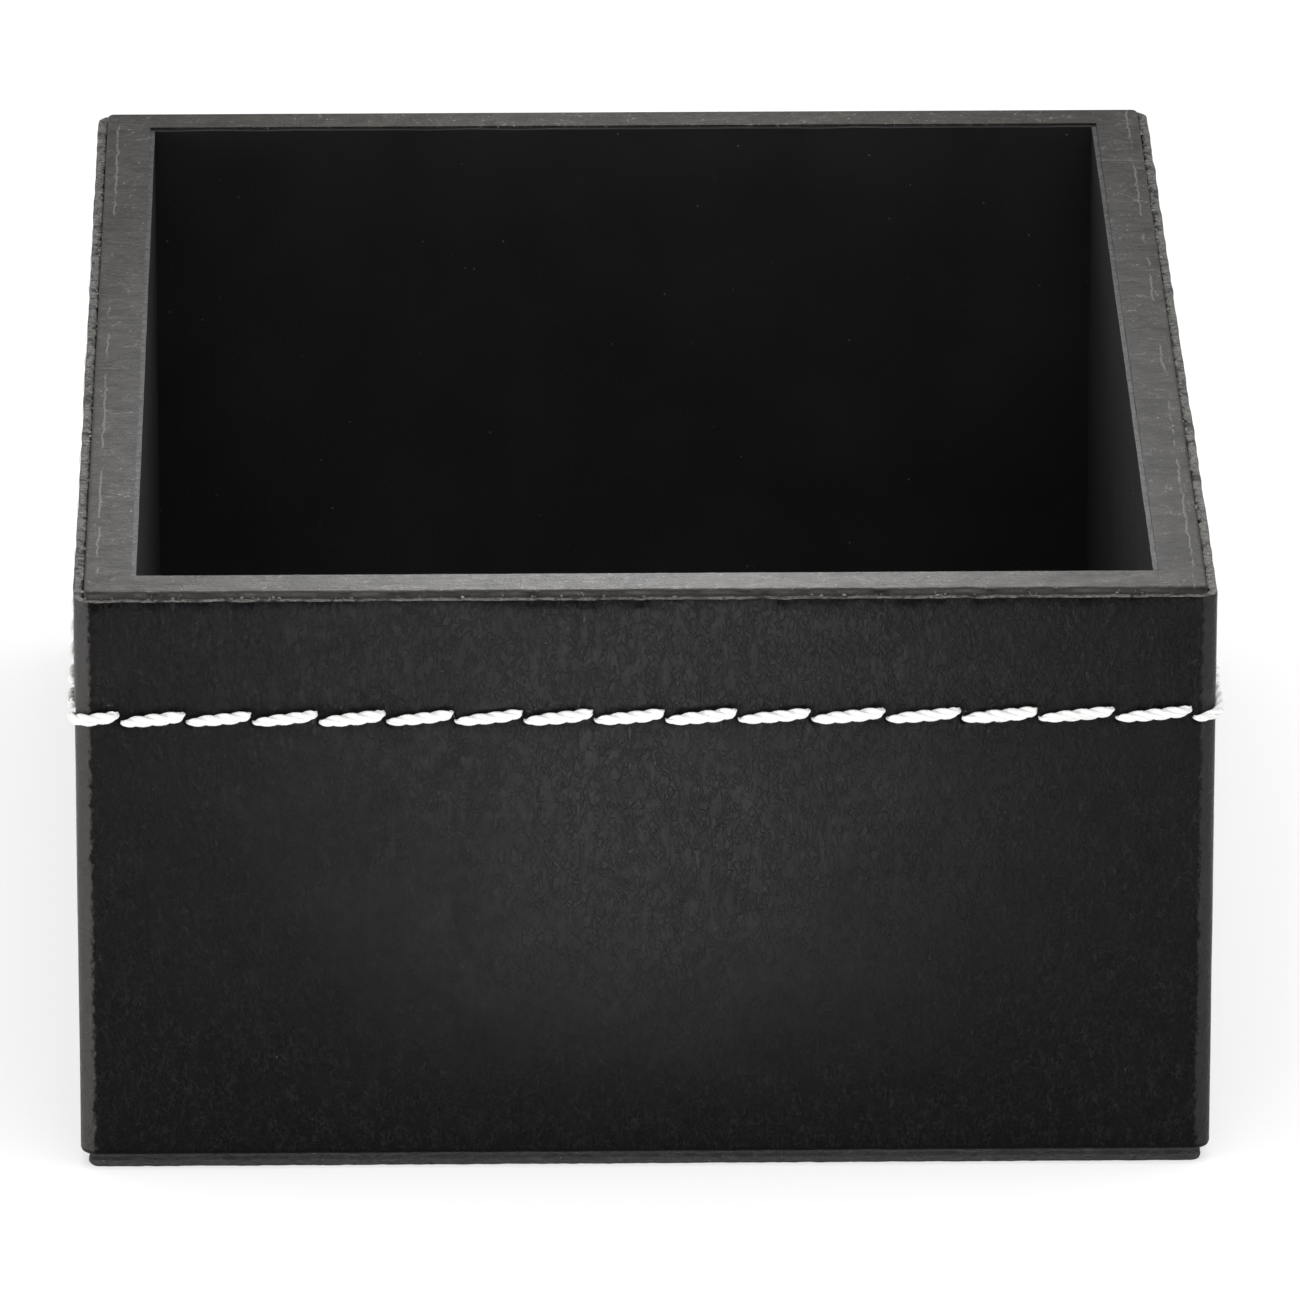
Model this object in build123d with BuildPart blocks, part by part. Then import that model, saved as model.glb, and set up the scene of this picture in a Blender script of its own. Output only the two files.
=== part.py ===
"""Open desk box for paper clips: thin painted boards, wrapped in stitched faux leather.

Millimetres, +Z up. The origin is the middle of the underside. The long sides run along Y,
and the front is at -Y.
"""
import os
from math import cos, pi, radians, sin, sqrt

from build123d import *

# Overall size, over the leather and down to the surface the box stands on
width = 98.0
depth = 127.0
height = 53.3

# Sheet materials
board = 4.0
floor_board = 3.0
leather = 0.9
lining = 0.45
base_sheet = 1.2

# Carcass joints and edges
rebate_tongue = 2.3
floor_board_fit = 0.1
wrap_corner = 1.5
board_arris = 0.3

# Where the soft sheets stop
leather_drop = 0.56
leather_lift = 0.15
leather_foot_round = 0.35
lining_drop = 0.2
base_sheet_inset = 0.7
base_sheet_corner = 1.0

# The strip's butt seam at the back
seam_offset = -1.6
seam_gap = 0.12

# The row of stitches round the strip
row_below_leather_edge = 10.7
stitch_pitch = 6.17
row_end_to_seam = 1.5
thread = 1.1
thread_in_hole = 0.36
thread_rests_above = 0.03
slit_length = 1.75
slit_width = 0.9
slit_lean = 26.0
slit_spread = 0.84
hole_depth = 0.5

# The form of one stitch
thread_sides = 6
end_taper = 0.84
flattening = 0.6
shoulder_slope = 30.0
leg_slope = 80.0
flat_run_steps = 3
corner_run_steps = 11

# The locking thread behind the strip, and the channel that the sewing presses into the soft backing
bobbin_thread = 0.34
bobbin_channel = 0.42
bobbin_channel_margin = 0.15

# Heights and plan sizes that follow
carcass_width = width - 2 * leather
carcass_depth = depth - 2 * leather
carcass_corner = wrap_corner - leather
inner_width = carcass_width - 2 * board
inner_depth = carcass_depth - 2 * board
wall_height = height - base_sheet
leather_bottom = base_sheet + leather_lift
leather_top = height - leather_drop
row_height = leather_top - row_below_leather_edge
floor_top = base_sheet + floor_board
lining_top = height - lining_drop
bobbin_channel_height = slit_length + 2 * bobbin_channel_margin

os.makedirs("parts", exist_ok=True)


def write(piece, name):
    """Name a finished piece and write it as its own file."""
    piece.label = name
    export_step(piece, f"parts/{name}.step")


# The carcass block: the outer form that the four boards share

with BuildPart() as carcass_block:
    with BuildSketch(Plane.XY.offset(base_sheet)):
        RectangleRounded(carcass_width, carcass_depth, carcass_corner)
    extrude(amount=wall_height)
    rim_edges = carcass_block.faces().sort_by(Axis.Z)[-1].edges()
    fillet(rim_edges, radius=board_arris)

# The two side boards run the whole depth, with a rebate at each end for the front and back boards

with BuildPart() as left_board:
    with BuildSketch(Plane.XY.offset(base_sheet)):
        with Locations((-carcass_width / 2, 0)):
            Rectangle(board, carcass_depth, align=(Align.MIN, Align.CENTER))
        for end in (-1, 1):
            with Locations((-carcass_width / 2 + rebate_tongue, end * (carcass_depth - board) / 2)):
                Rectangle(board, board, align=(Align.MIN, Align.CENTER), mode=Mode.SUBTRACT)
    extrude(amount=wall_height)
    add(carcass_block.part, mode=Mode.INTERSECT)

with BuildPart() as right_board:
    mirror(left_board.part, about=Plane.YZ)

# The front and back boards sit in the rebates

with BuildPart() as front_board:
    with BuildSketch(Plane.XY.offset(base_sheet)):
        with Locations((0, -carcass_depth / 2)):
            Rectangle(carcass_width - 2 * rebate_tongue, board, align=(Align.CENTER, Align.MIN))
    extrude(amount=wall_height)
    add(carcass_block.part, mode=Mode.INTERSECT)

with BuildPart() as back_board:
    mirror(front_board.part, about=Plane.XZ)

# The base board is glued in between the four walls, flush with their lower edges

with BuildPart() as base_board:
    with BuildSketch(Plane.XY.offset(base_sheet)):
        Rectangle(inner_width - 2 * floor_board_fit, inner_depth - 2 * floor_board_fit)
    extrude(amount=floor_board)

# The fibrous sheet that covers the underside and the walls' lower edges

with BuildPart() as base_cover:
    with BuildSketch():
        RectangleRounded(width - 2 * base_sheet_inset, depth - 2 * base_sheet_inset, base_sheet_corner)
    extrude(amount=base_sheet)

# The linings: one sheet on the floor, and four that stand on it against the walls

with BuildPart() as floor_lining:
    with BuildSketch(Plane.XY.offset(floor_top)):
        Rectangle(inner_width, inner_depth)
    extrude(amount=lining)

wall_lining_height = lining_top - floor_top - lining

with BuildPart() as front_lining:
    with BuildSketch(Plane.XY.offset(floor_top + lining)):
        with Locations((0, -inner_depth / 2)):
            Rectangle(inner_width, lining, align=(Align.CENTER, Align.MIN))
    extrude(amount=wall_lining_height)

with BuildPart() as back_lining:
    mirror(front_lining.part, about=Plane.XZ)

with BuildPart() as left_lining:
    with BuildSketch(Plane.XY.offset(floor_top + lining)):
        with Locations((-inner_width / 2, 0)):
            Rectangle(lining, inner_depth - 2 * lining, align=(Align.MIN, Align.CENTER))
    extrude(amount=wall_lining_height)

with BuildPart() as right_lining:
    mirror(left_lining.part, about=Plane.YZ)


def round_the_box(line_width, line_depth, end_to_seam):
    """Corner points of a line once round the box, from one side of the seam to the other."""
    x = line_width / 2
    y = line_depth / 2
    start = (seam_offset - end_to_seam, y)
    end = (seam_offset + end_to_seam, y)
    return [start, (-x, y), (-x, -y), (x, -y), (x, y), end]


# The line along which the strip was sewn, once round from one side of the seam to the other

with BuildLine(Plane.XY.offset(row_height)) as sewing_line:
    FilletPolyline(*round_the_box(width, depth, seam_gap / 2), radius=wrap_corner)

row = sewing_line.wires()[0]
row_length = row.length
stitch_count = round((row_length - 2 * row_end_to_seam) / stitch_pitch)
even_pitch = (row_length - 2 * row_end_to_seam) / stitch_count
holes = [row_end_to_seam + number * even_pitch for number in range(stitch_count + 1)]


def row_frame(along):
    """Place on the sewing line, with the direction of sewing and the outward direction."""
    share = along / row_length
    forward = row.tangent_at(share)
    outward = forward.cross(Vector(0, 0, 1))
    return row.position_at(share), forward, outward


def straight_frame(along):
    """The same for a straight line along X whose outward side is the front."""
    return Vector(along, 0, 0), Vector(1, 0, 0), Vector(0, -1, 0)


# The strip of faux leather, open at its butt seam, with a slanted slit for each pair of thread ends

with BuildPart() as slit:
    with BuildSketch(Plane.XY.rotated((0, 0, slit_lean))):
        with BuildLine():
            Polyline(
                (0, slit_length / 2),
                (slit_width / 2, 0),
                (0, -slit_length / 2),
                (-slit_width / 2, 0),
                close=True,
            )
        make_face()
    extrude(amount=leather, both=True)

with BuildPart() as leather_wrap:
    with BuildSketch(Plane.XY.offset(leather_bottom)):
        RectangleRounded(width, depth, wrap_corner)
    extrude(amount=leather_top - leather_bottom)
    foot_edges = leather_wrap.faces().sort_by(Axis.Z)[0].edges()
    fillet(foot_edges, radius=leather_foot_round)
    with BuildSketch(Plane.XY.offset(leather_bottom)):
        RectangleRounded(carcass_width, carcass_depth, carcass_corner)
    extrude(amount=leather_top - leather_bottom, mode=Mode.SUBTRACT)
    with BuildSketch(Plane.XY.offset(row_height - bobbin_channel_height / 2)):
        RectangleRounded(
            carcass_width + 2 * bobbin_channel,
            carcass_depth + 2 * bobbin_channel,
            carcass_corner + bobbin_channel,
        )
    extrude(amount=bobbin_channel_height, mode=Mode.SUBTRACT)
    with BuildSketch(Plane.XZ.offset(-depth / 2)):
        with Locations((seam_offset, (leather_bottom + leather_top) / 2)):
            Rectangle(seam_gap, height)
    extrude(amount=2 * leather, both=True, mode=Mode.SUBTRACT)
    hole_frames = [row_frame(along) for along in holes]
    with Locations(*[Plane(place, x_dir=ahead, z_dir=out).location for place, ahead, out in hole_frames]):
        add(slit.part, mode=Mode.SUBTRACT)

# The needle thread: each stitch leaves one slit at its low end and enters the next at its high end

slit_rise = slit_spread / 2 * cos(radians(slit_lean))
slit_step = slit_spread / 2 * sin(radians(slit_lean))


def stitch_profile(start, end, run_steps):
    """Sections of a stitch: distance along, out and up, slope, thickness and height."""
    narrow = thread_in_hole
    profile = [(start, -hole_depth, -slit_rise, 90, narrow, narrow)]
    profile.append((start, 0, -slit_rise, leg_slope, narrow, narrow))
    for step in range(run_steps + 1):
        share = 2 * step / run_steps - 1
        swell = sqrt(1 - (end_taper * share) ** 2)
        thick = thread * (1 - flattening * (1 - swell))
        along = (start + end) / 2 + share * (end - start - narrow) / 2
        out = thick / 2 + thread_rests_above
        slope = -shoulder_slope * share**3
        profile.append((along, out, slit_rise * share, slope, thick, thread * swell))
    profile.append((end, 0, slit_rise, -leg_slope, narrow, narrow))
    profile.append((end, -hole_depth, slit_rise, -90, narrow, narrow))
    return profile


def make_stitch(start, end, frame, run_steps):
    """One plump, many-sided stitch along the given frame."""
    with BuildPart() as stitch:
        for along, out, up, slope, thick, tall in stitch_profile(start, end, run_steps):
            place, forward, outward = frame(along)
            climb = radians(slope)
            heading = forward * cos(climb) + outward * sin(climb)
            centre = place + outward * out + Vector(0, 0, up)
            turns = [2 * pi * (side + 0.5) / thread_sides for side in range(thread_sides)]
            with BuildSketch(Plane(centre, x_dir=(0, 0, 1), z_dir=heading)):
                with BuildLine():
                    Polyline(*[(tall / 2 * cos(turn), thick / 2 * sin(turn)) for turn in turns], close=True)
                make_face()
        loft(ruled=True)
    return stitch.part


flat_stitch = make_stitch(slit_step, even_pitch - slit_step, straight_frame, flat_run_steps)
flat_places = []
corner_stitches = []
for hole, next_hole in zip(holes, holes[1:]):
    place, ahead, _ = row_frame(hole)
    if ahead.dot(row_frame(next_hole)[1]) > 0.999:
        flat_places.append(Plane(place, x_dir=ahead, z_dir=(0, 0, 1)).location)
    else:
        corner_stitches.append(
            make_stitch(hole + slit_step, next_hole - slit_step, row_frame, corner_run_steps)
        )

with BuildPart() as needle_thread:
    with Locations(*flat_places):
        add(flat_stitch)
    add(corner_stitches)

# The bobbin thread runs in its channel at the back of the strip

with BuildPart() as bobbin:
    with BuildLine(Plane.XY.offset(row_height)) as bobbin_path:
        FilletPolyline(
            *round_the_box(carcass_width + bobbin_thread, carcass_depth + bobbin_thread, row_end_to_seam),
            radius=carcass_corner + bobbin_thread / 2,
        )
    with BuildSketch(bobbin_path.wires()[0] ^ 0):
        RegularPolygon(bobbin_thread / 2, thread_sides)
    sweep()

write(left_board.part, "left_board")
write(right_board.part, "right_board")
write(front_board.part, "front_board")
write(back_board.part, "back_board")
write(base_board.part, "base_board")
write(base_cover.part, "base_sheet")
write(floor_lining.part, "floor_lining")
write(front_lining.part, "front_lining")
write(back_lining.part, "back_lining")
write(left_lining.part, "left_lining")
write(right_lining.part, "right_lining")
write(leather_wrap.part, "leather_wrap")
write(needle_thread.part, "needle_thread")
write(bobbin.part, "bobbin_thread")
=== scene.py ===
"""Looks of the stitched clip box: the wrapped strip, its thread, the linings, finishes and studio."""

import math
import random

import bpy
from mathutils import Matrix, Vector, noise


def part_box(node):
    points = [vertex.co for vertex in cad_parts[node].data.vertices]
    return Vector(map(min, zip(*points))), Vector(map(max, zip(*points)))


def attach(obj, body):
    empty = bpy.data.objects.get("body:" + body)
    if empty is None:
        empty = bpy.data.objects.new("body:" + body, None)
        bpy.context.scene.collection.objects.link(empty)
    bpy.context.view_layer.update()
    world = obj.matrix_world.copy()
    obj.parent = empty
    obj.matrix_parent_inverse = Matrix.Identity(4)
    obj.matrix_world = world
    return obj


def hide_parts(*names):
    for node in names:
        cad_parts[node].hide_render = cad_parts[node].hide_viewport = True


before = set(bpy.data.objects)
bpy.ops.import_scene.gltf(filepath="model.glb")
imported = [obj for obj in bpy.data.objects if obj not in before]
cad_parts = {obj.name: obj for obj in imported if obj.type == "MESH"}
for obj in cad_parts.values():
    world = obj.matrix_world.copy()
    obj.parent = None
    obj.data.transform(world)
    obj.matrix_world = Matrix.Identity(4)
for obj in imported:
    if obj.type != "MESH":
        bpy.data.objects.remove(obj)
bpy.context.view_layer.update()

MM = 0.001

# Places read from the frame
strip_low, strip_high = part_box("leather_wrap")
carcass_low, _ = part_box("left_board")
thread_low, thread_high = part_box("needle_thread")
WIDTH = strip_high.x - strip_low.x
DEPTH = strip_high.y - strip_low.y
LEATHER = carcass_low.x - strip_low.x
FOOT = strip_low.z
EDGE = strip_high.z
ROW = (thread_low.z + thread_high.z) / 2

# The strip and its sewing, as they are in the solids
CORNER = 1.5 * MM
SEAM_X = -1.6 * MM
SEAM_GAP = 0.12 * MM
STITCHES = 72
ROW_END = 1.5 * MM
PITCH_DRIFT = 3.2 * MM
SLIT_LEAN = math.radians(26)
SLIT_SPREAD = 0.84 * MM

# Marks on the rim's paint
SCORE_X = WIDTH / 2 - 1.95 * MM
PALE_SCRATCH_Y = 48.1 * MM
DARK_CRACK_Y = -7.2 * MM


def walk_round():
    """Straights and corners of the strip's outer face, anticlockwise from the seam at the back."""
    x, y, r = WIDTH / 2, DEPTH / 2, CORNER
    straights = [x + SEAM_X - r, 2 * (y - r), 2 * (x - r), 2 * (y - r), x - SEAM_X - r]
    point, heading, start, legs = Vector((SEAM_X, y)), math.pi, 0.0, []
    for number, length in enumerate(straights):
        ahead = Vector((math.cos(heading), math.sin(heading)))
        legs.append((start, length, point.copy(), heading, False))
        point += ahead * length
        start += length
        if number < len(straights) - 1:
            legs.append((start, r * math.pi / 2, point.copy(), heading, True))
            left = Vector((-ahead.y, ahead.x))
            point += (ahead + left) * r
            heading += math.pi / 2
            start += r * math.pi / 2
    return legs, start


LEGS, ROUND = walk_round()


def along_strip(s):
    """Point on the outer face in plan, heading and outward direction, at a distance from the seam."""
    s = min(max(s, 0.0), ROUND)
    for start, length, point, heading, bent in reversed(LEGS):
        if s >= start - 1e-12:
            break
    run = s - start
    if bent:
        turn = run / CORNER
        ahead = Vector((math.cos(heading), math.sin(heading)))
        left = Vector((-ahead.y, ahead.x))
        point = point + ahead * CORNER * math.sin(turn) + left * CORNER * (1 - math.cos(turn))
        heading += turn
    else:
        point = point + Vector((math.cos(heading), math.sin(heading))) * run
    ahead = Vector((math.cos(heading), math.sin(heading), 0))
    return Vector((point.x, point.y, 0)), ahead, Vector((ahead.y, -ahead.x, 0))


def on_strip(s, out, z):
    """A point at a distance along the strip, out from its face, at a height."""
    point, _, outward = along_strip(s)
    return point + outward * out + Vector((0, 0, z))


def hole_at(number):
    """Distance of a slit from the seam, with the slow drift of hand-fed sewing."""
    even = (ROUND - 2 * ROW_END) / STITCHES
    return ROW_END + number * even + PITCH_DRIFT * (1 - math.cos(4 * math.pi * number / STITCHES))


HOLES = [hole_at(number) for number in range(STITCHES + 1)]


# Materials


def new_material(name, color, roughness, **sockets):
    """A material with its shader; the sockets named are set on the shader itself."""
    material = bpy.data.materials.new(name)
    material.use_nodes = True
    shader = material.node_tree.nodes["Principled BSDF"]
    shader.inputs["Base Color"].default_value = (*color, 1)
    shader.inputs["Roughness"].default_value = roughness
    for socket, value in sockets.items():
        shader.inputs[socket.replace("_", " ")].default_value = value
    return material


class Nodes:
    """Short calls for the nodes of one material."""

    def __init__(self, material):
        self.tree = material.node_tree
        self.shader = self.tree.nodes["Principled BSDF"]

    def node(self, kind, links=None, **settings):
        """A node with its settings; links hold what goes into its sockets, a socket or a constant."""
        made = self.tree.nodes.new(kind)
        for name, value in settings.items():
            setattr(made, name, value)
        for socket, value in (links or {}).items():
            if isinstance(value, bpy.types.NodeSocket):
                self.tree.links.new(value, made.inputs[socket])
            else:
                made.inputs[socket].default_value = value
        return made

    def place(self, scale, turn=(0, 0, 0)):
        """Object coordinates in millimetres, stretched by a scale."""
        where = self.node("ShaderNodeTexCoord").outputs["Object"]
        size = tuple(value / MM for value in scale)
        links = {"Vector": where, "Scale": size, "Rotation": turn}
        return self.node("ShaderNodeMapping", links).outputs["Vector"]

    def noise(self, where, scale, detail=3.0, rough=0.55, distortion=0.0):
        """Cloudy noise; the scale is in features per millimetre."""
        links = {"Vector": where, "Scale": scale, "Detail": detail}
        links.update({"Roughness": rough, "Distortion": distortion})
        return self.node("ShaderNodeTexNoise", links).outputs["Fac"]

    def cells(self, where, scale, feature="F1"):
        """Distance to the nearest of scattered points."""
        links = {"Vector": where, "Scale": scale}
        return self.node("ShaderNodeTexVoronoi", links, feature=feature).outputs["Distance"]

    def between(self, value, low, high, to_low=0.0, to_high=1.0):
        """A value spread from one range to another and held inside it."""
        links = {"Value": value, "From Min": low, "From Max": high}
        links.update({"To Min": to_low, "To Max": to_high})
        return self.node("ShaderNodeMapRange", links).outputs["Result"]

    def math(self, what, first, second):
        """One sum of two sockets or constants."""
        return self.node("ShaderNodeMath", {0: first, 1: second}, operation=what).outputs[0]

    def line(self, value, at, wide, soft=0.5):
        """1 where a value lies within a width of a level, 0 elsewhere."""
        off = self.math("ABSOLUTE", self.math("SUBTRACT", value, at), 0.0)
        return self.between(off, wide, wide * soft)

    def axes(self, vector):
        """The X, Y and Z of a vector."""
        return self.node("ShaderNodeSeparateXYZ", {0: vector}).outputs

    def mix(self, amount, first, second):
        """One colour over another, by an amount."""
        made = self.node("ShaderNodeMix", data_type="RGBA")
        for socket, value in zip((0, 6, 7), (amount, first, second)):
            if isinstance(value, bpy.types.NodeSocket):
                self.tree.links.new(value, made.inputs[socket])
            elif socket:
                made.inputs[socket].default_value = (*value, 1)
            else:
                made.inputs[socket].default_value = value
        return made.outputs[2]

    def color(self, value):
        self.tree.links.new(value, self.shader.inputs["Base Color"])

    def roughness(self, value):
        self.tree.links.new(value, self.shader.inputs["Roughness"])

    def bump(self, height, depth, strength=1.0, under=None):
        """Relief of a depth in millimetres; under is the relief below it."""
        links = {"Height": height, "Strength": strength, "Distance": depth * MM}
        if under is not None:
            links["Normal"] = under
        made = self.node("ShaderNodeBump", links).outputs["Normal"]
        self.tree.links.new(made, self.shader.inputs["Normal"])
        return made


MIDDLE = 0.5
CURL_WIDTH = 0.045
CURL_PALENESS = 0.2
# Where the painted sheen on the strip's rounded corners begins and where it is full, measured in from
# the outer faces
CORNER_SHEEN_START = 0.95 * CORNER
CORNER_SHEEN_FULL = 0.75 * CORNER


def leather_finish():
    """Black faux leather: fine curling wrinkles over a pebbled ground, with a painted sheen that makes
    its rounded corners paler, most on the left.
    """
    material = new_material("faux_leather", (0.006, 0.0057, 0.006), 0.3, Specular_IOR_Level=0.05)
    n = Nodes(material)
    where = n.place((1, 1, 0.66))
    curl = n.line(n.noise(where, 1.5, 1, 0.4, 0.9), MIDDLE, CURL_WIDTH, 0.2)
    across = n.place((1.1, 1.1, 0.5), (0.3, 0.2, 0.9))
    other = n.line(n.noise(across, 1.9, 1, 0.4, 0.7), MIDDLE, CURL_WIDTH, 0.2)
    curl = n.math("MAXIMUM", curl, other)
    curl = n.math("MULTIPLY", curl, n.between(n.noise(where, 0.9, 2), 0.36, 0.56))
    pebble = n.cells(where, 2.6, "SMOOTH_F1")
    pore = n.noise(where, 5.5, 4, 0.65)
    soft = n.noise(n.place((1, 1, 0.5)), 0.22, 3)
    under = n.bump(soft, 0.15, 0.3)
    under = n.bump(pebble, 0.04, 1.0, under)
    under = n.bump(curl, 0.05, 1.0, under)
    n.bump(pore, 0.025, 1.0, under)
    tone = n.mix(n.between(pore, 0.35, 0.7), (0.0018, 0.0017, 0.0019), (0.0052, 0.0048, 0.0051))
    tone = n.mix(n.math("MULTIPLY", curl, CURL_PALENESS), tone, (0.034, 0.0325, 0.0335))
    fleck = n.between(n.noise(where, 3.4, 2, 0.7), 0.68, 0.78)
    tone = n.mix(fleck, tone, (0.014, 0.0135, 0.0137))
    spot = n.axes(n.node("ShaderNodeTexCoord").outputs["Object"])
    ragged = n.between(n.noise(where, 2.0, 4, 0.7), 0.3, 0.7, -0.3 * MM, 0.3 * MM)
    # Painted sheen: the strip's rounded corners are given a paler colour, as if they caught the light.
    painted_corner_sheen = None
    for axis, half in (("X", WIDTH / 2), ("Y", DEPTH / 2)):
        reach = n.math("ADD", n.math("ABSOLUTE", spot[axis], 0.0), ragged)
        near = n.between(reach, half - CORNER_SHEEN_START, half - CORNER_SHEEN_FULL)
        painted_corner_sheen = near if painted_corner_sheen is None else n.math("MULTIPLY", painted_corner_sheen, near)
    # The painted sheen is full on the left corners and 0.4 as strong on the right ones.
    painted_corner_sheen = n.math("MULTIPLY", painted_corner_sheen, n.between(spot["X"], MM, -MM, 0.4, 1))
    tone = n.mix(painted_corner_sheen, tone, (0.052, 0.0497, 0.048))
    # Painted shade: the strip is darkened to near black just above its foot, where it meets the base
    # sheet.
    painted_foot_shade = n.between(spot["Z"], FOOT + 0.55 * MM, FOOT + 0.3 * MM, 0, 0.8)
    n.color(n.mix(painted_foot_shade, tone, (0.0012, 0.0012, 0.0012)))
    n.roughness(n.between(n.math("ADD", pore, n.noise(where, 0.5, 2)), 0.7, 1.35, 0.22, 0.36))
    return material


def cut_edge_finish():
    """The strip's cut edge: dull brown-black core with a fibrous backing."""
    material = new_material("leather_cut_edge", (0.05, 0.048, 0.045), 0.62, Specular_IOR_Level=0.2)
    n = Nodes(material)
    where = n.place((1, 1, 1))
    fibre = n.noise(where, 3.4, 5, 0.7)
    clot = n.noise(where, 0.9, 3, 0.6, 0.5)
    tone = n.mix(n.between(fibre, 0.36, 0.66), (0.020, 0.019, 0.018), (0.20, 0.19, 0.178))
    n.color(n.mix(n.between(clot, 0.50, 0.38), tone, (0.014, 0.013, 0.012)))
    n.bump(fibre, 0.14, 0.9)
    return material


def board_finish(name, streak, worn_tone_with_sheen):
    """Black paint over sanded fibreboard: the worn edge is patchy, scratched and dusty."""
    material = new_material(name, (0.03, 0.029, 0.028), 0.5, Specular_IOR_Level=0.12)
    n = Nodes(material)
    where = n.place((1, 1, 1))
    streaks = n.noise(n.place(streak), 1.0, 5, 0.65, 0.5)
    patches = n.noise(where, 0.36, 5, 0.66, 0.8)
    fibre = n.noise(where, 3.0, 5, 0.75, 0.6)
    chips = n.noise(where, 1.25, 4, 0.7, 0.4)
    streaked = n.between(streaks, 0.34, 0.70, 0, 0.45)
    worn = n.math("ADD", streaked, n.between(patches, 0.36, 0.66, 0, 0.55))
    paint = n.mix(worn, (0.014, 0.0132, 0.0125), worn_tone_with_sheen)
    paint = n.mix(n.between(fibre, 0.47, 0.35), paint, (0.008, 0.0077, 0.0073))
    paint = n.mix(n.between(chips, 0.63, 0.74), paint, (0.098, 0.092, 0.084))
    hair = n.line(n.noise(where, 0.5, 2, 0.4, 0.9), 0.5, 0.011, 0.3)
    hair = n.math("MULTIPLY", hair, n.between(patches, 0.46, 0.56))
    paint = n.mix(n.math("MULTIPLY", hair, 0.5), paint, (0.21, 0.198, 0.182))
    speck = n.between(n.cells(where, 0.8), 0.11, 0.05)
    speck = n.math("MULTIPLY", speck, n.between(patches, 0.44, 0.56))
    paint = n.mix(speck, paint, (0.27, 0.26, 0.24))
    spot = n.axes(n.node("ShaderNodeTexCoord").outputs["Object"])
    wander = n.between(patches, 0, 1, -0.5 * MM, 0.5 * MM)
    side = n.math("ABSOLUTE", spot["X"], 0.0)
    scored = n.line(n.math("ADD", side, wander), SCORE_X, 0.11 * MM)
    scored = n.math("MULTIPLY", scored, n.between(n.noise(where, 0.16, 2), 0.46, 0.52))
    paint = n.mix(n.math("MULTIPLY", scored, 0.7), paint, (0.15, 0.143, 0.135))
    across = n.math("ADD", spot["Y"], wander)
    on_right = n.between(spot["X"], 0, MM)
    scratch = n.math("MULTIPLY", n.line(across, PALE_SCRATCH_Y, 0.16 * MM), on_right)
    paint = n.mix(n.math("MULTIPLY", scratch, 0.6), paint, (0.15, 0.143, 0.135))
    on_left = n.between(spot["X"], 0, -MM)
    crack = n.math("MULTIPLY", n.line(across, DARK_CRACK_Y, 0.13 * MM), on_left)
    paint = n.mix(crack, paint, (0.006, 0.006, 0.006))
    # Painted shade and glue: the boards' outer faces and rounded top arris above the strip turn near
    # black as they turn upright, a painted shade of the groove; just above the strip this gives way to
    # a pale glue line. Flat tops and the inner walls keep the paint.
    facing = n.axes(n.node("ShaderNodeNewGeometry").outputs["True Normal"])["Z"]
    long_way = n.math("SUBTRACT", n.math("ABSOLUTE", spot["Y"], 0.0), (DEPTH - WIDTH) / 2)
    from_middle = n.math("MAXIMUM", side, long_way)
    inside = n.between(from_middle, WIDTH / 2 - 2 * MM, WIDTH / 2 - 3 * MM)
    flat = n.math("MAXIMUM", n.between(facing, 0.35, 0.9), inside)
    height = n.math("ADD", spot["Z"], wander)
    glue = n.between(height, EDGE + 0.5 * MM, EDGE + 0.1 * MM, 0, 0.9)
    shade_and_glue = n.mix(glue, (0.006, 0.0058, 0.0056), (0.10, 0.095, 0.089))
    n.color(n.mix(flat, shade_and_glue, paint))
    n.roughness(n.between(fibre, 0.3, 0.7, 0.42, 0.66))
    under = n.bump(streaks, 0.09, 0.6)
    under = n.bump(chips, 0.12, 0.7, under)
    under = n.bump(hair, 0.03, 0.6, under)
    n.bump(fibre, 0.09, 0.9, under)
    return material


def lining_finish():
    """Black lining paper with a faint fibrous tooth and a few specks of dust."""
    material = new_material("lining_sheet", (0.008, 0.008, 0.0088), 0.6, Specular_IOR_Level=0.35)
    n = Nodes(material)
    tooth = n.noise(n.place((1, 1, 1)), 3.2, 5, 0.7)
    cloud = n.noise(n.place((1, 1, 1)), 0.09, 3)
    tone = n.mix(n.between(cloud, 0.3, 0.7), (0.0065, 0.0065, 0.007), (0.0125, 0.0122, 0.0135))
    dust = n.between(n.cells(n.place((1, 1, 1)), 0.42), 0.05, 0.025)
    n.color(n.mix(dust, tone, (0.09, 0.09, 0.09)))
    n.roughness(n.between(tooth, 0.3, 0.7, 0.52, 0.72))
    n.bump(tooth, 0.05, 0.5)
    return material


def lining_edge_finish():
    """The lining's cut edge, where its grey core shows."""
    material = new_material("lining_cut_edge", (0.04, 0.04, 0.042), 0.6, Specular_IOR_Level=0.16)
    n = Nodes(material)
    tooth = n.noise(n.place((1, 1, 1)), 1.6, 5, 0.75)
    n.color(n.mix(n.between(tooth, 0.38, 0.62), (0.012, 0.012, 0.0125), (0.082, 0.081, 0.082)))
    n.bump(tooth, 0.04, 0.6)
    return material


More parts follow.
